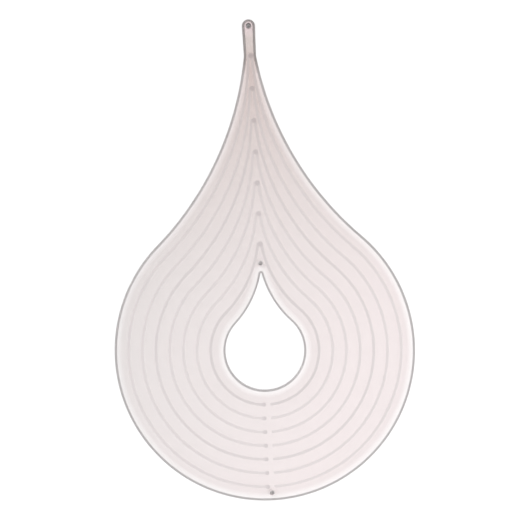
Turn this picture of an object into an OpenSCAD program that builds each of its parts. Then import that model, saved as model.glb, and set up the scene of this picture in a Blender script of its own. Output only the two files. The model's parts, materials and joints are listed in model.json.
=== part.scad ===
// Teardrop echo template: a flat clear sheet with a teardrop edge, a smaller teardrop
// cut out of it, seven nested engraved lines a quarter of an inch apart, and three pin
// holes on its centre line. The sheet lies flat on z = 0 with its tip towards +Y, and
// the origin is on its underside, in the middle of its length and width.

/* [Sheet] */
// Thickness of the sheet
sheet_t = 3; // [2:0.1:6]
// Radius of the round end of the outer edge
base_r = 69.85; // [69.5:0.05:71]
// Radius of a hollow flank, as a multiple of the radius of its round end
flank_ratio = 2.1; // [2.08:0.01:2.12]
// Half of the gap between the outer flanks at their narrowest, as a share of base_r
outer_gap_ratio = 0.0193; // [0.018:0.0001:0.022]

/* [Tip] */
// Distance from the centre of the round end to the tip hole
tip_reach = 151; // [149:0.1:154]
// Radius of the rounded end of the tip
tip_r = 3.05; // [2.9:0.05:3.6]
// Half width of the neck at its foot
neck_half_w = 2.85; // [2.6:0.05:2.9]

/* [Cut-out] */
// Radius of the round end of the cut-out
cutout_r = 18.3; // [16:0.1:20]
// Radius of the cut-out's hollow flanks, as a multiple of cutout_r
cutout_flank_ratio = 2.5; // [2.3:0.05:2.7]
// Distance from the centre of the round end to the top of the cut-out
cutout_reach = 36; // [35:0.1:36.8]
// Radius of the rounded top of the cut-out
cutout_tip_r = 0.3; // [0.2:0.05:0.5]

/* [Pin holes] */
// Diameter of the hole in the tip
tip_hole_d = 2.2; // [1.5:0.1:3]
// Diameter of the hole above the cut-out
pivot_hole_d = 2; // [1.2:0.1:2.4]
// Diameter of the hole in the round end
base_hole_d = 2.2; // [1.5:0.1:3]
// Distance from the centre of the round end to the hole above the cut-out
pivot_reach = 40.5; // [39.5:0.1:42]
// Distance from the round end's outer edge to the hole in it
base_hole_inset = 3.7; // [3.2:0.1:4]

/* [Echo lines] */
// Radius of the innermost line's round end
first_line_r = 25.15; // [24.5:0.05:25.5]
// Step in radius from one line to the next
line_pitch = 6.35; // [6.2:0.05:6.35]
// Width of an engraved line
line_w = 1.2; // [0.6:0.05:1.2]
// Depth of the engraving
groove_depth = 0.25; // [0.2:0.05:0.5]
// Thickness of the paint in it
fill_t = 0.2; // [0.1:0.05:0.2]
// Half of the gap between a line's flanks at their narrowest, as a share of its radius
line_gap_ratio = 0.01; // [0.008:0.001:0.012]
// Half width of a line's blunt top, between the middles of its strokes
apex_half_w = 0.8; // [0.7:0.05:0.8]
// Height of the bar across a line's blunt top
apex_bar = 1.3; // [1.25:0.05:1.4]

/* [Line ends] */
// Distance right of the centre line at which a line's right-hand end stops
gap_right = 1.3; // [1:0.05:3]
// Distance left of the centre line of the dot that a line ends in
base_dot_inset = 1.8; // [1.4:0.1:3]
// Diameter of that dot
base_dot_d = 2; // [1.5:0.1:2.2]
// Distance right of the centre line of the dot on a line's blunt top
apex_dot_inset = 0.4; // [0.2:0.05:0.45]
// Diameter of that dot
apex_dot_d = 2.4; // [1.8:0.1:2.4]

/* [Smoothness] */
// Most that a flat facet may cut inside a true curve
chord_error = 0.02; // [0.01:0.01:0.05]

/* [Hidden] */

line_count = 7;
length = base_r + tip_reach + tip_r;
centre_y = base_r - length / 2;
overshoot = 1;
round_facets = 48;
sheet_colour = [0.93, 0.90, 0.90];
fill_colour = [0.66, 0.63, 0.64];

// How many chords keep an arc of radius r within the allowed error.
function steps(r, sweep) = max(3, ceil(abs(sweep) / (2 * acos(1 - chord_error / r))));

// Points along an arc about the point c, from angle a to angle b.
function arc(c, r, a, b) =
    let(n = steps(r, b - a))
    [for (i = [0:n]) c + r * [cos(a + (b - a) * i / n), sin(a + (b - a) * i / n)]];

function reversed(points) = [for (i = [len(points) - 1:-1:0]) points[i]];
function mirrored(points) = [for (p = points) [-p[0], p[1]]];
function inner(points) = [for (i = [1:len(points) - 2]) points[i]];

// A teardrop edge has a round end of radius r about the origin, and on each side a hollow
// flank of radius flank_r that touches the round end from outside. gap is how far each
// flank stays from the centre line at its narrowest.
function flank_centre(r, flank_r, gap) =
    [gap + flank_r, sqrt(pow(r + flank_r, 2) - pow(gap + flank_r, 2))];

// The height at which a flank is half_w from the centre line.
function height_at(r, flank_r, gap, half_w) =
    flank_centre(r, flank_r, gap)[1] - sqrt(pow(flank_r, 2) - pow(gap + flank_r - half_w, 2));

// The right-hand side of a teardrop edge, from the angle start on the round end up its
// flank to the height top. grow moves the whole edge outwards.
function teardrop_side(r, flank_r, gap, top, grow = 0, start = -90) =
    let(
        c = flank_centre(r, flank_r, gap),
        meet = atan2(c[1], c[0]),
        end = 180 + asin((c[1] - top) / (flank_r - grow)),
        round_end = arc([0, 0], r + grow, start, meet),
        flank = arc(c, flank_r - grow, 180 + meet, end)
    )
    concat(round_end, [for (i = [1:len(flank) - 1]) flank[i]]);

// A closed edge from a side whose first and last points are on the centre line.
function both_sides(side) = concat(side, reversed(mirrored(inner(side))));

function line_r(k) = first_line_r + (k - 1) * line_pitch;
function line_flank_r(k) = flank_ratio * line_r(k);
function line_gap(k) = line_gap_ratio * line_r(k);
function apex_y(k) = height_at(line_r(k), line_flank_r(k), line_gap(k), apex_half_w);

// One edge of a line's right-hand stroke, on the side that grow says.
function stroke_edge(k, grow, end_x) =
    teardrop_side(
        line_r(k), line_flank_r(k), line_gap(k),
        top = apex_y(k) + sign(grow) * apex_bar / 2,
        grow = grow,
        start = asin(end_x / line_r(k)) - 90
    );

module outer_edge() {
    flank_r = flank_ratio * base_r;
    gap = outer_gap_ratio * base_r;
    neck_y = height_at(base_r, flank_r, gap, neck_half_w);
    side = teardrop_side(base_r, flank_r, gap, neck_y);
    // The neck runs straight from its foot to the rounded end.
    polygon(both_sides(concat(side, arc([0, tip_reach], tip_r, 0, 90))));
}

// The cut-out's flanks touch both its round end and its small rounded top.
module cutout_edge() {
    flank_r = cutout_flank_ratio * cutout_r;
    top_y = cutout_reach - cutout_tip_r;
    flank_y = (pow(cutout_r + flank_r, 2) - pow(flank_r + cutout_tip_r, 2) + pow(top_y, 2))
        / (2 * top_y);
    flank_x = sqrt(pow(cutout_r + flank_r, 2) - pow(flank_y, 2));
    touch = atan2(flank_y - top_y, flank_x);
    touch_y = top_y + cutout_tip_r * sin(touch);
    side = teardrop_side(cutout_r, flank_r, flank_x - flank_r, touch_y);
    tip = arc([0, top_y], cutout_tip_r, touch, 90);
    polygon(both_sides(concat(side, [for (i = [1:len(tip) - 1]) tip[i]])));
}

// The outline of one engraved line: up the right side, across the blunt top and down the
// left side, with a gap at the bottom.
module line_outline(k) {
    outside = line_w / 2;
    inside = -line_w / 2;
    polygon(concat(
        stroke_edge(k, outside, gap_right),
        reversed(mirrored(stroke_edge(k, outside, base_dot_inset))),
        mirrored(stroke_edge(k, inside, base_dot_inset)),
        reversed(stroke_edge(k, inside, gap_right))
    ));
}

module apex_dot_outline(k) {
    translate([apex_dot_inset, apex_y(k)]) circle(d = apex_dot_d, $fn = round_facets);
}

module base_dot_outline(k) {
    dot_y = -sqrt(pow(line_r(k), 2) - pow(base_dot_inset, 2));
    translate([-base_dot_inset, dot_y]) circle(d = base_dot_d, $fn = round_facets);
}

// A recess from just above the sheet's face down to the depth of the engraving.
module engrave() {
    translate([0, 0, sheet_t - groove_depth])
        linear_extrude(groove_depth + overshoot)
            children();
}

// Paint on the floor of a recess.
module fill() {
    color(fill_colour)
        translate([0, centre_y, sheet_t - groove_depth])
            linear_extrude(fill_t)
                children();
}

module pin_hole(y, d) {
    translate([0, y, -overshoot])
        cylinder(d = d, h = sheet_t + 2 * overshoot, $fn = round_facets);
}

module template_sheet() {
    color(sheet_colour)
        translate([0, centre_y, 0])
            difference() {
                linear_extrude(sheet_t)
                    outer_edge();
                translate([0, 0, -overshoot])
                    linear_extrude(sheet_t + 2 * overshoot)
                        cutout_edge();
                pin_hole(tip_reach, tip_hole_d);
                pin_hole(pivot_reach, pivot_hole_d);
                pin_hole(base_hole_inset - base_r, base_hole_d);
                for (k = [1:line_count]) {
                    engrave() line_outline(k);
                    engrave() apex_dot_outline(k);
                    engrave() base_dot_outline(k);
                }
            }
}

// The paint in a line stops where the paint in its two dots begins.
module echo_line(k) {
    fill()
        difference() {
            line_outline(k);
            apex_dot_outline(k);
            base_dot_outline(k);
        }
}

module apex_dots() {
    for (k = [1:line_count])
        fill() apex_dot_outline(k);
}

module base_dots() {
    for (k = [1:line_count])
        fill() base_dot_outline(k);
}

template_sheet();
echo_line(1);  // echo_line_1
echo_line(2);  // echo_line_2
echo_line(3);  // echo_line_3
echo_line(4);  // echo_line_4
echo_line(5);  // echo_line_5
echo_line(6);  // echo_line_6
echo_line(7);  // echo_line_7
apex_dots();
base_dots();
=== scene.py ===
import json
import math

import bmesh
import bpy
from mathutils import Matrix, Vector
from mathutils.geometry import delaunay_2d_cdt
from mathutils.kdtree import KDTree


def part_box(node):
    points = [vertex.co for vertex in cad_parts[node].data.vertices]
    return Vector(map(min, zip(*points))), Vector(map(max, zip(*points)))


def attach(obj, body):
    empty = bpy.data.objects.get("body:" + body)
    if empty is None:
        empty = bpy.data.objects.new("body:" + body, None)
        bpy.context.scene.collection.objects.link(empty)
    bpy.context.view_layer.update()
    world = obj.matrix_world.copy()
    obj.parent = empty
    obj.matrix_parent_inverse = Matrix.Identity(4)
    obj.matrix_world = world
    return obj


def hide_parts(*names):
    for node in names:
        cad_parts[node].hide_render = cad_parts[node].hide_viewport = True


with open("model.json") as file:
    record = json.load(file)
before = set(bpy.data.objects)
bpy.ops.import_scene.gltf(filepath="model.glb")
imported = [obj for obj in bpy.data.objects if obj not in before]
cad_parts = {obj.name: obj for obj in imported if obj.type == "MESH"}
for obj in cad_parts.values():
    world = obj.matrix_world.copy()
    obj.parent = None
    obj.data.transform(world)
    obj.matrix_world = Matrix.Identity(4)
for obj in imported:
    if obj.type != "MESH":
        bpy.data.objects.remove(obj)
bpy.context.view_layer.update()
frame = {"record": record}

# ---------------------------------------------------------------- sizes, in millimetres
MM = 0.001
low, high = (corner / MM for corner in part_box("template_sheet"))
SHEET_T = high.z - low.z
BASE_R = high.x
CENTRE_Y = low.y + BASE_R
MOUNTS = {mount["name"]: mount for mount in frame["record"]["mounts"]}

FLANK_RATIO = 2.1
OUTER_GAP_RATIO = 0.0193
NECK_HALF_W = 2.85
TIP_REACH = MOUNTS["tip_hole"]["pos_m"][1] / MM - CENTRE_Y
TIP_R = high.y - CENTRE_Y - TIP_REACH

CUTOUT_R = 18.3
CUTOUT_FLANK_RATIO = 2.5
CUTOUT_REACH = 36.0
CUTOUT_TIP_R = 0.3

LINES = range(1, 8)  # numbered from the inside
FIRST_LINE_R = 25.15
LINE_PITCH = 6.35
LINE_W = 1.2
LINE_GAP_RATIO = 0.01
APEX_HALF_W = 0.8
APEX_BAR = 1.3
GAP_RIGHT = 1.3
BASE_DOT_INSET = 1.8
BASE_DOT_D = 2.0
APEX_DOT_INSET = 0.4
APEX_DOT_D = 2.4
GROOVE_DEPTH = 0.25
FILL_T = 0.2

HOLE_NAMES = ("tip_hole", "pivot_hole", "base_hole")
TOP_ROUND = 1.22  # radius of the eased top edge
CUTOUT_ROUND = 0.95  # radius of the cut-out's eased top edge
BOTTOM_ROUND = 0.3  # radius of the eased bottom edge
HOLE_ROUND = 0.2  # radius of the eased rim of a hole
CLEARANCE = 0.01  # between the paint and the floor and walls of its recess
ENGRAVED_Z = SHEET_T - GROOVE_DEPTH  # height of the floor of the recesses
FILL_LOW = ENGRAVED_Z + CLEARANCE
FILL_HIGH = ENGRAVED_Z + FILL_T

GLOW_W = 2.55  # width of the painted highlight, a bright band inside an eased edge
GLOW_STEPS = [i / 8 for i in range(8)]  # where distances are taken from, along a facet
HOLE_RING = 1.6  # radius of the ring of points around each hole
HOLE_CLEAR = 1.75  # nearest that the end of the band comes to a hole's centre

CHORD_ERROR = 0.004  # most that a facet may cut inside a true curve
FINEST_R = 0.1  # radius below which an arc's facets get no smaller
MIN_FACETS = 6  # fewest facets in an arc
ROUND_STEPS = 5  # facets across a rounded edge
MIN_MITER = 0.5  # stops the offset of a sharp corner from running far out
SAME_POINT = 1e-7  # points nearer than this are one when the plane is divided
JOIN_GAP = 1e-5  # corners nearer than this are joined into one
SHARP_ANGLE = math.radians(35)  # faces that meet at more than this keep a sharp edge


# ---------------------------------------------------------------- plane curves
def arc(centre, radius, start, end):
    """Points along an arc, from one angle to another, in radians."""
    x, y = centre
    step = 2 * math.acos(1 - CHORD_ERROR / max(radius, FINEST_R))
    count = max(MIN_FACETS, math.ceil(abs(end - start) / step))
    angles = [start + (end - start) * i / count for i in range(count + 1)]
    return [Vector((x + radius * math.cos(a), y + radius * math.sin(a))) for a in angles]


def circle(centre, radius):
    """A closed loop of points. The last one isn't a repeat of the first."""
    return arc(centre, radius, 0, math.tau)[:-1]


def pairs(loop):
    """Each point of a closed loop with the next one."""
    return list(zip(loop, loop[1:] + loop[:1]))


def mirrored(points):
    return [Vector((-p.x, p.y)) for p in points]


def flank_centre(r, flank_r, gap):
    return Vector((gap + flank_r, math.sqrt((r + flank_r) ** 2 - (gap + flank_r) ** 2)))


def height_at(r, flank_r, gap, half_w):
    """The height at which a flank is half_w from the centre line."""
    return flank_centre(r, flank_r, gap).y - math.sqrt(flank_r**2 - (gap + flank_r - half_w) ** 2)


def teardrop_side(r, flank_r, gap, top, grow=0.0, start=-math.pi / 2):
    """The right-hand side of a teardrop edge: a round end about the origin, then a hollow
    flank that touches it and climbs to the height top."""
    centre = flank_centre(r, flank_r, gap)
    meet = math.atan2(centre.y, centre.x)
    end = math.pi + math.asin((centre.y - top) / (flank_r - grow))
    round_end = arc((0, 0), r + grow, start, meet)
    flank = arc(centre, flank_r - grow, math.pi + meet, end)
    return round_end + flank[1:]


def both_sides(side):
    """A closed edge from a side whose first and last points are on the centre line."""
    return side + mirrored(side[1:-1])[::-1]


def placed(points):
    """Moves points about the round end's centre into the frame."""
    return [Vector((p.x, p.y + CENTRE_Y)) for p in points]


def outer_edge():
    flank_r, gap = FLANK_RATIO * BASE_R, OUTER_GAP_RATIO * BASE_R
    neck_y = height_at(BASE_R, flank_r, gap, NECK_HALF_W)
    side = teardrop_side(BASE_R, flank_r, gap, neck_y)
    return placed(both_sides(side + arc((0, TIP_REACH), TIP_R, 0, math.pi / 2)))


def cutout_edge():
    flank_r = CUTOUT_FLANK_RATIO * CUTOUT_R
    top_y = CUTOUT_REACH - CUTOUT_TIP_R
    span = (CUTOUT_R + flank_r) ** 2
    flank_y = (span - (flank_r + CUTOUT_TIP_R) ** 2 + top_y**2) / (2 * top_y)
    flank_x = math.sqrt(span - flank_y**2)
    touch = math.atan2(flank_y - top_y, flank_x)
    touch_y = top_y + CUTOUT_TIP_R * math.sin(touch)
    side = teardrop_side(CUTOUT_R, flank_r, flank_x - flank_r, touch_y)
    return placed(both_sides(side + arc((0, top_y), CUTOUT_TIP_R, touch, math.pi / 2)[1:]))


def line_r(k):
    """The radius of a line's round end."""
    return FIRST_LINE_R + (k - 1) * LINE_PITCH


def apex_y(k):
    """The height of a line's blunt top."""
    r = line_r(k)
    return height_at(r, FLANK_RATIO * r, LINE_GAP_RATIO * r, APEX_HALF_W)


def stroke_edge(k, grow, end_x):
    """One edge of a line's right-hand stroke, on the side that grow says."""
    r = line_r(k)
    top = apex_y(k) + math.copysign(APEX_BAR / 2, grow)
    start = math.asin(end_x / r) - math.pi / 2
    return teardrop_side(r, FLANK_RATIO * r, LINE_GAP_RATIO * r, top, grow, start)


def line_outline(k):
    """Up the right side, across the blunt top and down the left side, with a gap at the
    bottom."""
    outside, inside = LINE_W / 2, -LINE_W / 2
    return placed(
        stroke_edge(k, outside, GAP_RIGHT)
        + mirrored(stroke_edge(k, outside, BASE_DOT_INSET))[::-1]
        + mirrored(stroke_edge(k, inside, BASE_DOT_INSET))
        + stroke_edge(k, inside, GAP_RIGHT)[::-1]
    )


def apex_dot(k, grow=0.0):
    return placed(circle((APEX_DOT_INSET, apex_y(k)), APEX_DOT_D / 2 + grow))


def base_dot(k, grow=0.0):
    y = -math.sqrt(line_r(k) ** 2 - BASE_DOT_INSET**2)
    return placed(circle((-BASE_DOT_INSET, y), BASE_DOT_D / 2 + grow))


def offset(points, distance):
    """A closed anticlockwise loop moved outwards along its own normals, point for point."""
    moved = []
    for i, p in enumerate(points):
        before = (p - points[i - 1]).normalized()
        after = (points[(i + 1) % len(points)] - p).normalized()
        normal = Vector((before.y + after.y, -before.x - after.x)).normalized()
        miter = max(MIN_MITER, normal.dot(Vector((after.y, -after.x))))
        moved.append(p + normal * (distance / miter))
    return moved


# ---------------------------------------------------------------- mesh building
def cells(loops, cuts=()):
    """Splits the plane along closed loops, and along cuts, which are pairs of points. Returns
    the points, and each triangle with the set of loops that it lies inside."""
    points, faces, edges = [], [], []
    for loop in loops:
        faces.append(list(range(len(points), len(points) + len(loop))))
        points += loop
    for cut in cuts:
        edges.append((len(points), len(points) + 1))
        points += cut
    whole_hull = 0
    made = delaunay_2d_cdt(points, edges, faces, whole_hull, SAME_POINT)
    new_points, _, tris, _, _, loops_around = made
    return new_points, [(tri, set(inside)) for tri, inside in zip(tris, loops_around)]


def add_cells(bm, points, tris, z, up=True, material=0):
    """Adds flat triangles at a height, facing up or down."""
    verts = {}
    for tri in tris:
        corners = []
        for i in tri:
            if i not in verts:
                verts[i] = bm.verts.new((points[i].x, points[i].y, z))
            corners.append(verts[i])
        face = bm.faces.new(corners if up else corners[::-1])
        face.material_index = material


def add_walls(bm, points, tris, z_low, z_high, material=0):
    """Adds upright quads along the outside of a set of triangles."""
    edges = {(tri[i], tri[(i + 1) % len(tri)]) for tri in tris for i in range(len(tri))}
    for a, b in edges:
        if (b, a) in edges:
            continue
        corners = [(a, z_low), (b, z_low), (b, z_high), (a, z_high)]
        face = bm.faces.new([bm.verts.new((points[i].x, points[i].y, z)) for i, z in corners])
        face.material_index = material


def add_strip(bm, rings, wall, rounded):
    """Quads between rings of the same number of points, each ring (points, z). Those that
    round off the top get the rounded material, and the rest get the wall material."""
    rows = [[bm.verts.new((p.x, p.y, z)) for p in points] for points, z in rings]
    for level, (lower, upper) in enumerate(zip(rows, rows[1:])):
        for i in range(len(lower)):
            j = (i + 1) % len(lower)
            face = bm.faces.new((lower[i], lower[j], upper[j], upper[i]))
            face.material_index = rounded if level > ROUND_STEPS else wall


def eased_wall(points, bottom_round, top_round, sign):
    """Rings up a wall with rounded edges. sign is -1 where solid material is inside the
    loop, and 1 where it is outside."""
    rings = []
    for i in range(ROUND_STEPS + 1):
        a = math.pi / 2 * i / ROUND_STEPS
        inset = bottom_round * (1 - math.sin(a))
        rings.append((offset(points, sign * inset), bottom_round * (1 - math.cos(a))))
    for i in range(ROUND_STEPS + 1):
        a = math.pi / 2 * i / ROUND_STEPS
        inset = top_round * (1 - math.cos(a))
        rings.append((offset(points, sign * inset), SHEET_T - top_round * (1 - math.sin(a))))
    return rings


def join_up(bm):
    """Joins faces that meet, and turns them all to face outwards."""
    bmesh.ops.remove_doubles(bm, verts=bm.verts, dist=JOIN_GAP)
    bmesh.ops.recalc_face_normals(bm, faces=bm.faces)


def finished(bm, name, materials):
    """Turns a mesh in millimetres into an object in metres."""
    bmesh.ops.scale(bm, vec=(MM, MM, MM), verts=bm.verts)
    mesh = bpy.data.meshes.new(name)
    bm.to_mesh(mesh)
    bm.free()
    for material in materials:
        mesh.materials.append(material)
    mesh.shade_smooth()
    mesh.set_sharp_from_angle(angle=SHARP_ANGLE)
    piece = bpy.data.objects.new(name, mesh)
    bpy.context.scene.collection.objects.link(piece)
    weighted = piece.modifiers.new("weighted_normals", "WEIGHTED_NORMAL")
    weighted.keep_sharp = True
    return piece


# ---------------------------------------------------------------- looks
TO_TIP = (0, 1, 0)
ACROSS = (0.9, -0.45, 0)  # from the greyer upper left to the pinker lower right: painted shade and painted light across the sheet
ACROSS_SPAN = (-55, 60)  # millimetres along ACROSS
SHADE_SPAN = (-110, 88)  # millimetres along TO_TIP over which the colours are painted darker: painted shade
SHADE_POWER = 3.5  # how late in that span most of the painted shade comes
NECK_SPAN = (86, 93)  # where the painted highlight ends and the colours turn to their neck tones
TIP_SPAN = (94, 100)  # where the straight neck turns paler
END_SPAN = (103, 108)  # where the tip around its hole turns paler still

ACRYLIC_IOR = 1.49
GLOW = "edge_glow"
GLOW_SHARE = 0.82  # greatest share of the painted highlight's tone in the face's colour
NOISE_RANGE = (0.3, 0.7)  # what nearly all of a noise texture's values lie between
# Face tones: the greyer upper left and pinker lower right are painted shade and painted light,
# the neck tone is painted shade, and the tip and end tones turn paler.
FACE_GREY = (0.704, 0.669, 0.664)
FACE_PINK = (0.797, 0.726, 0.726)
FACE_NECK = (0.598, 0.495, 0.472)
FACE_TIP = (0.665, 0.585, 0.56)
FACE_END = (0.845, 0.714, 0.722)
# Tones of the painted highlight, a bright band inside the eased edges, darker at the neck.
HIGHLIGHT_GREY = (0.874, 0.855, 0.855)
HIGHLIGHT_PINK = (0.995, 0.98, 0.98)
HIGHLIGHT_NECK = (0.84, 0.76, 0.75)
# The eased rim's dark grey is painted shade, standing for the dark outline that a clear edge
# shows; darker still at the neck.
RIM_SHADE_DARK = (0.23, 0.214, 0.216)
RIM_SHADE_LIGHT = (0.34, 0.319, 0.321)
RIM_SHADE_NECK = (0.185, 0.168, 0.163)
WALL_DARK = (0.55, 0.52, 0.525)
WALL_LIGHT = (0.75, 0.71, 0.715)
# Hole wall tones; they turn to HOLE_NECK towards the tip, painted shade.
HOLE_DARK = (0.67, 0.62, 0.62)
HOLE_LIGHT = (0.83, 0.78, 0.78)
HOLE_NECK = (0.34, 0.3, 0.3)
GROOVE_DARK = (0.55, 0.51, 0.51)
GROOVE_LIGHT = (0.68, 0.64, 0.64)
# Paint tones are for thin paint, for thick paint and for the neck, whose darker tone is painted
# shade.
LINE_TONES = ((0.597, 0.549, 0.549), (0.557, 0.517, 0.522), (0.46, 0.4, 0.39))
DOT_TONES = ((0.535, 0.49, 0.495), (0.47, 0.43, 0.435), (0.378, 0.319, 0.313))
LINE_SHARES = {1: 0.93, 5: 0.97}  # scales the tones of the two lines with the thickest paint


# ---------------------------------------------------------------- materials
class Surface:
    """A Principled material, with short calls for the nodes that these surfaces share."""

    def __init__(self, name, roughness):
        self.material = bpy.data.materials.new(name)
        self.material.use_nodes = True
        self.nodes = self.material.node_tree.nodes
        self.links = self.material.node_tree.links
        self.shader = self.nodes["Principled BSDF"]
        self.put("Roughness", roughness)

    def put(self, name, value):
        """Sets an input of the shader to a plain value, or links a node's output to it."""
        socket = self.shader.inputs[name]
        if isinstance(value, bpy.types.NodeSocket):
            self.links.new(value, socket)
        else:
            socket.default_value = value

    def noise(self, size, detail=2, stretch=(1, 1, 1)):
        """Noise whose features are about size millimetres across, times stretch on each axis."""
        place = self.nodes.new("ShaderNodeTexCoord")
        mapping = self.nodes.new("ShaderNodeMapping")
        mapping.inputs["Scale"].default_value = [1 / (size * MM * s) for s in stretch]
        noise = self.nodes.new("ShaderNodeTexNoise")
        noise.inputs["Scale"].default_value = 1.0
        noise.inputs["Detail"].default_value = detail
        self.links.new(place.outputs["Object"], mapping.inputs["Vector"])
        self.links.new(mapping.outputs["Vector"], noise.inputs["Vector"])
        return noise.outputs["Fac"]

    def ranged(self, value, low, high, over=NOISE_RANGE):
        """A value between low and high, as the given one runs over its own range."""
        node = self.nodes.new("ShaderNodeMapRange")
        self.links.new(value, node.inputs["Value"])
        node.inputs["From Min"].default_value, node.inputs["From Max"].default_value = over
        node.inputs["To Min"].default_value = low
        node.inputs["To Max"].default_value = high
        return node.outputs["Result"]

    def blend(self, factor, first, second):
        """A colour between two, each a colour or a node's output."""
        node = self.nodes.new("ShaderNodeMix")
        node.data_type = "RGBA"
        self.links.new(factor, node.inputs[0])
        for socket, colour in ((node.inputs[6], first), (node.inputs[7], second)):
            if isinstance(colour, bpy.types.NodeSocket):
                self.links.new(colour, socket)
            else:
                socket.default_value = (*colour, 1)
        return node.outputs[2]

    def bump(self, height, depth):
        """Relief of a height map, depth millimetres from lowest to highest."""
        node = self.nodes.new("ShaderNodeBump")
        node.inputs["Distance"].default_value = depth * MM
        self.links.new(height, node.inputs["Height"])
        self.put("Normal", node.outputs["Normal"])

    def along(self, direction, span):
        """0 before a span in a direction, 1 after it and in between on it. The span is two
        distances from the origin, in millimetres."""
        place = self.nodes.new("ShaderNodeTexCoord")
        reach = self.nodes.new("ShaderNodeVectorMath")
        reach.operation = "DOT_PRODUCT"
        reach.inputs[1].default_value = direction
        self.links.new(place.outputs["Object"], reach.inputs[0])
        start, end = span
        return self.ranged(reach.outputs["Value"], 0, 1, over=(start * MM, end * MM))

    def shaded_to_tip(self, colour, deep):
        """A colour that turns to a deeper, darker one, slowly at first, on the way up to the tip:
        painted shade.
        """
        rise = self.nodes.new("ShaderNodeMath")
        rise.operation = "POWER"
        rise.inputs[1].default_value = SHADE_POWER
        self.links.new(self.along(TO_TIP, SHADE_SPAN), rise.inputs[0])
        return self.blend(rise.outputs[0], colour, deep)

    def attribute(self, name):
        """A value that the mesh carries at its corners."""
        node = self.nodes.new("ShaderNodeAttribute")
        node.attribute_name = name
        return node.outputs["Fac"]

    def clear(self, haze):
        """Makes the surface clear plastic with a share of milky haze."""
        self.put("IOR", ACRYLIC_IOR)
        self.put("Transmission Weight", 1 - haze)

    def pass_light(self, share):
        """Lets a share of lamp light and bounced light straight through the surface."""
        path = self.nodes.new("ShaderNodeLightPath")
        straight = self.nodes.new("ShaderNodeMath")
        straight.operation = "MAXIMUM"
        self.links.new(path.outputs["Is Shadow Ray"], straight.inputs[0])
        self.links.new(path.outputs["Is Diffuse Ray"], straight.inputs[1])
        opening = self.nodes.new("ShaderNodeBsdfTransparent")
        opening.inputs["Color"].default_value = (share, share, share, 1)
        mix = self.nodes.new("ShaderNodeMixShader")
        self.links.new(straight.outputs[0], mix.inputs["Fac"])
        self.links.new(self.shader.outputs[0], mix.inputs[1])
        self.links.new(opening.outputs[0], mix.inputs[2])
        self.links.new(mix.outputs[0], self.nodes["Material Output"].inputs["Surface"])


def acrylic_face():
    """The sheet's two faces: clear, with a pinkish tint and light scuffs, and with painted light
    and shade: greyer at the upper left, pinker at the lower right and darker towards the tip.
    A painted highlight, a bright band inside the eased edges, stands for light a cut edge throws
    back."""
    face = Surface("acrylic_face", roughness=0.06)
    across = face.along(ACROSS, ACROSS_SPAN)
    # Painted shade and light: greyer upper left, pinker lower right, darker towards the tip.
    tinted_shade = face.shaded_to_tip(face.blend(across, FACE_GREY, FACE_PINK), FACE_NECK)
    # The painted highlight: a bright band inside the eased edges, where a cut edge would throw
    # light back.
    band = face.shaded_to_tip(face.blend(across, HIGHLIGHT_GREY, HIGHLIGHT_PINK), HIGHLIGHT_NECK)
    glow = face.ranged(face.attribute(GLOW), 0, GLOW_SHARE, over=(0, 1))
    body = face.blend(glow, tinted_shade, band)
    # Darker at the neck, painted shade; then paler at the straight neck and around the tip hole.
    for span, colour in ((NECK_SPAN, FACE_NECK), (TIP_SPAN, FACE_TIP), (END_SPAN, FACE_END)):
        body = face.blend(face.along(TO_TIP, span), body, colour)
    face.put("Base Color", body)
    scuffs = face.noise(size=0.5, detail=3, stretch=(1, 40, 1))
    face.put("Roughness", face.ranged(scuffs, 0.04, 0.09, over=(0.4, 0.75)))
    face.bump(face.noise(size=14, detail=1), depth=0.01)
    face.clear(haze=0.1)
    face.pass_light(share=0.99)
    return face.material


def acrylic_edge(name, light, dark, neck):
    """A cut edge: frosted, with the fine upright lines that the cutter leaves, turning to a
    darker neck colour near the tip, which is painted shade. On the eased rim the dark grey is
    painted shade.
    """
    edge = Surface(name, roughness=0.3)
    lines = edge.noise(size=0.35, stretch=(1, 1, 60))
    frost = edge.blend(edge.ranged(lines, 0, 1), light, dark)
    edge.put("Base Color", edge.blend(edge.along(TO_TIP, NECK_SPAN), frost, neck))
    edge.put("Roughness", edge.ranged(lines, 0.22, 0.45))
    edge.bump(lines, depth=0.015)
    edge.clear(haze=0.35)
    edge.pass_light(share=0.85)
    return edge.material


def acrylic_hole():
    """The opaque wall of a pin hole, which light does not pass, with a grainy tone painted darker
    towards the tip as painted shade.
    """
    wall = Surface("acrylic_drilled", roughness=0.6)
    grain = wall.noise(size=0.25, detail=3)
    hole_grain_tone = wall.blend(wall.ranged(grain, 0, 1), HOLE_DARK, HOLE_LIGHT)
    wall.put("Base Color", wall.shaded_to_tip(hole_grain_tone, HOLE_NECK))
    wall.bump(grain, depth=0.04)
    return wall.material


def acrylic_groove():
    """The floor and walls of the engraving: finely frosted."""
    groove = Surface("acrylic_engraved", roughness=0.5)
    grain = groove.noise(size=0.2, detail=3)
    frost = groove.blend(groove.ranged(grain, 0, 1), GROOVE_DARK, GROOVE_LIGHT)
    groove.put("Base Color", frost)
    groove.put("Roughness", groove.ranged(grain, 0.4, 0.65))
    groove.bump(grain, depth=0.03)
    groove.clear(haze=0.3)
    groove.pass_light(share=0.99)
    return groove.material


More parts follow.
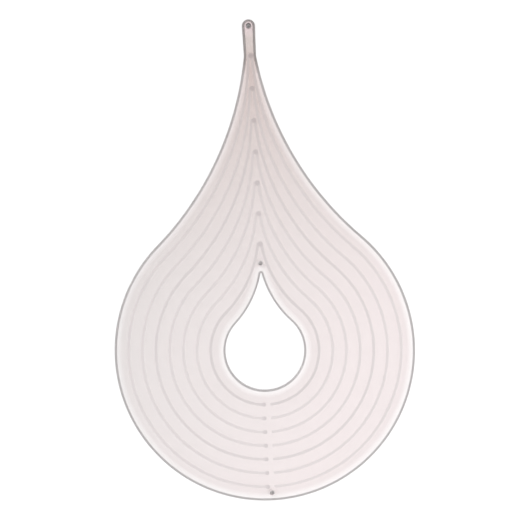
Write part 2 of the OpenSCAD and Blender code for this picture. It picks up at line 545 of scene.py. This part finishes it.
def paint(name, tones, share=1.0):
    """Matt paint wiped into a recess, thinner in some places than in others, with its colour
    painted lighter towards the lower right and darker towards the tip: painted light and
    shade. The share scales all its tones."""
    thin, thick, neck = ([share * c for c in tone] for tone in tones)
    film = Surface(name, roughness=0.7)
    wiped = film.noise(size=6)
    grain = film.noise(size=0.3)
    patches = film.blend(film.ranged(wiped, 0, 1), thin, thick)
    colour = film.blend(film.ranged(grain, 0, 0.35), patches, thick)
    # Lighter towards the lower right: painted light, as on the sheet's face.
    colour = film.blend(film.along(ACROSS, ACROSS_SPAN), colour, thin)
    film.put("Base Color", film.shaded_to_tip(colour, neck))
    film.put("Roughness", film.ranged(grain, 0.6, 0.85))
    film.bump(grain, depth=0.03)
    film.pass_light(share=0.98)
    return film.material


SHEET_MATERIALS = [
    acrylic_face(),
    acrylic_edge("acrylic_cut_wall", WALL_LIGHT, WALL_DARK, WALL_DARK),
    # The rim's dark grey is painted shade for the dark outline of a clear edge.
    acrylic_edge("acrylic_eased_rim_shade", RIM_SHADE_LIGHT, RIM_SHADE_DARK, RIM_SHADE_NECK),
    acrylic_groove(),
    acrylic_hole(),
]
FACE, WALL, RIM, GROOVE, HOLE = range(len(SHEET_MATERIALS))
DOT_PAINT = paint("dot_paint", DOT_TONES)


# ---------------------------------------------------------------- the sheet
def hole_centre(name):
    x, y, _ = MOUNTS[name]["pos_m"]
    return Vector((x / MM, y / MM))


def make_sheet():
    """The plate, with eased edges, three pin holes and the engraved recesses."""
    bm = bmesh.new()
    outer, cutout = outer_edge(), cutout_edge()
    add_strip(bm, eased_wall(outer, BOTTOM_ROUND, TOP_ROUND, -1), WALL, RIM)
    add_strip(bm, eased_wall(cutout, BOTTOM_ROUND, CUTOUT_ROUND, 1), WALL, RIM)
    top_loops = [offset(outer, -TOP_ROUND), offset(cutout, CUTOUT_ROUND)]
    bottom_loops = [offset(outer, -BOTTOM_ROUND), offset(cutout, BOTTOM_ROUND)]
    for name in HOLE_NAMES:
        hole = circle(hole_centre(name), MOUNTS[name]["dims"]["r_mm"])
        add_strip(bm, eased_wall(hole, HOLE_ROUND, HOLE_ROUND, 1), HOLE, HOLE)
        top_loops.append(offset(hole, HOLE_ROUND))
        bottom_loops.append(offset(hole, HOLE_ROUND))

    bands = glow_limit(outer, -1) + glow_limit(cutout, 1) + hole_rings()
    points, tris = cells(bottom_loops, bands)
    bottom = [t for t, inside in tris if inside == {0}]
    add_cells(bm, points, bottom, 0, up=False, material=FACE)

    # The first loop is the outer edge, the next ones are openings, and the rest are recesses.
    openings = set(range(1, len(top_loops)))
    recesses = [outline(k) for k in LINES for outline in (line_outline, apex_dot, base_dot)]
    engraved = set(range(len(top_loops), len(top_loops) + len(recesses)))
    points, tris = cells(top_loops + recesses, bands)
    solid = [(t, inside) for t, inside in tris if 0 in inside and not inside & openings]
    top = [t for t, inside in solid if not inside & engraved]
    floor = [t for t, inside in solid if inside & engraved]
    add_cells(bm, points, top, SHEET_T, material=FACE)
    add_cells(bm, points, floor, ENGRAVED_Z, material=GROOVE)
    add_walls(bm, points, floor, ENGRAVED_Z, SHEET_T, material=GROOVE)
    join_up(bm)
    mark_glow(bm, [outer, cutout])
    return finished(bm, "sheet_detail", SHEET_MATERIALS)


def glow_limit(edge, sign):
    """Where the painted highlight inside an eased edge ends, as separate cuts clear of the holes.
    """
    limit = pairs(offset(edge, sign * (TOP_ROUND + GLOW_W)))
    centres = [hole_centre(name) for name in HOLE_NAMES]
    return [(p, q) for p, q in limit if min(gap_to(c, p, q) for c in centres) > HOLE_CLEAR]


def gap_to(point, p, q):
    """The distance from a point to the straight line between two others."""
    share = (point - p).dot(q - p) / (q - p).length_squared
    return (p.lerp(q, min(1, max(0, share))) - point).length


def hole_rings():
    """Cuts around the holes, so that the faces carry the painted highlight past them."""
    rings = [circle(hole_centre(name), HOLE_RING) for name in HOLE_NAMES]
    return [pair for ring in rings for pair in pairs(ring)]


def mark_glow(bm, edges):
    """Gives each vertex its share of the painted highlight, the bright band that runs inside the
    eased edges.
    """
    points = [p.lerp(q, t) for edge in edges for p, q in pairs(edge) for t in GLOW_STEPS]
    tree = KDTree(len(points))
    for i, p in enumerate(points):
        tree.insert((p.x, p.y, 0), i)
    tree.balance()
    layer = bm.verts.layers.float.new(GLOW)
    for vert in bm.verts:
        inset = tree.find((vert.co.x, vert.co.y, 0))[2]
        vert[layer] = min(1, max(0, 1 - (inset - TOP_ROUND) / GLOW_W))


# ---------------------------------------------------------------- the paint
def add_fill(bm, points, tris):
    """Adds the paint over a set of triangles, with its top, its bottom and its sides."""
    add_cells(bm, points, tris, FILL_HIGH)
    add_cells(bm, points, tris, FILL_LOW, up=False)
    add_walls(bm, points, tris, FILL_LOW, FILL_HIGH)


def make_line(k):
    """The paint in one engraved line, which stops where the paint in its dots begins."""
    loops = [offset(line_outline(k), -CLEARANCE), apex_dot(k), base_dot(k)]
    points, tris = cells(loops)
    bm = bmesh.new()
    add_fill(bm, points, [t for t, inside in tris if inside == {0}])
    join_up(bm)
    film = paint(f"paint_in_line_{k}", LINE_TONES, LINE_SHARES.get(k, 1.0))
    return finished(bm, f"line_paint_{k}", [film])


def make_dots(name, outline):
    """The paint in one dot of each line."""
    bm = bmesh.new()
    for k in LINES:
        points, tris = cells([outline(k, -CLEARANCE)])
        add_fill(bm, points, [t for t, inside in tris if inside])
    join_up(bm)
    return finished(bm, name, [DOT_PAINT])


sheet = make_sheet()
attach(sheet, "root")
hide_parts("template_sheet")

for k in LINES:
    line = make_line(k)
    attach(line, "root")
    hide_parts(f"echo_line_{k}")

for name, outline in (("apex_dots", apex_dot), ("base_dots", base_dot)):
    dots = make_dots(f"{name}_paint", outline)
    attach(dots, "root")
    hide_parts(name)


# ---------------------------------------------------------------- studio, in metres
FLOOR_REACH = 6.0  # from the middle of the floor to its sides
FLOOR_DROP = 0.00015  # from the sheet's underside down to the floor
FLOOR_WHITE = (0.9, 0.9, 0.9, 1)
WORLD_WHITE = (1, 1, 1, 1)


def make_floor():
    bm = bmesh.new()
    bmesh.ops.create_grid(bm, x_segments=1, y_segments=1, size=FLOOR_REACH)
    mesh = bpy.data.meshes.new("floor")
    bm.to_mesh(mesh)
    bm.free()
    floor = bpy.data.objects.new("floor", mesh)
    bpy.context.scene.collection.objects.link(floor)
    floor.location.z = -FLOOR_DROP
    surface = Surface("floor_paint", roughness=0.9)
    surface.put("Base Color", FLOOR_WHITE)
    mesh.materials.append(surface.material)


def make_area(name, place, aim, size, power):
    """A round lamp of a given width that lights one side evenly."""
    light = bpy.data.lights.new(name, "AREA")
    light.shape = "DISK"
    light.size = size
    light.energy = power
    hang(name, light, place, aim)


def make_spot(name, place, aim, power, spread, size):
    """A lamp whose pool of light fades towards its rim."""
    light = bpy.data.lights.new(name, "SPOT")
    light.energy = power
    light.spot_size = spread
    light.spot_blend = 1.0
    light.shadow_soft_size = size
    hang(name, light, place, aim)


def hang(name, light, place, aim):
    """Puts a lamp at a place and turns it towards another."""
    lamp = bpy.data.objects.new(name, light)
    lamp.location = place
    lamp.rotation_euler = (Vector(aim) - Vector(place)).to_track_quat("-Z", "Y").to_euler()
    bpy.context.scene.collection.objects.link(lamp)


def make_world(strength):
    world = bpy.data.worlds.new("studio")
    world.use_nodes = True
    background = world.node_tree.nodes["Background"]
    background.inputs["Color"].default_value = WORLD_WHITE
    background.inputs["Strength"].default_value = strength
    bpy.context.scene.world = world


make_floor()
make_world(strength=1.05)
make_spot(
    "key",
    place=(0.6, -0.5, 1.5),
    aim=(0.11, -0.13, 0),
    power=52,
    spread=math.radians(18),
    size=0.3,
)
make_area("fill", place=(-0.9, 0.7, 1.4), aim=(0, 0, 0), size=0.9, power=4)
bpy.context.scene.view_settings.view_transform = "Standard"

# ---------------------------------------------------------------- camera
LENS = 100  # millimetres
VIEW_FIELD = 237.6 * MM  # width of the view at the sheet's top face
VIEW_CENTRE = (-1.9 * MM, 1.9 * MM)
VIEW_ROLL = math.radians(-2.9)
camera_data = bpy.data.cameras.new("camera")
camera_data.lens = LENS
camera = bpy.data.objects.new("camera", camera_data)
distance = VIEW_FIELD / 2 * LENS / (camera_data.sensor_width / 2)
camera.location = (*VIEW_CENTRE, SHEET_T * MM + distance)
camera.rotation_euler = (0, 0, VIEW_ROLL)
bpy.context.scene.collection.objects.link(camera)
bpy.context.scene.camera = camera
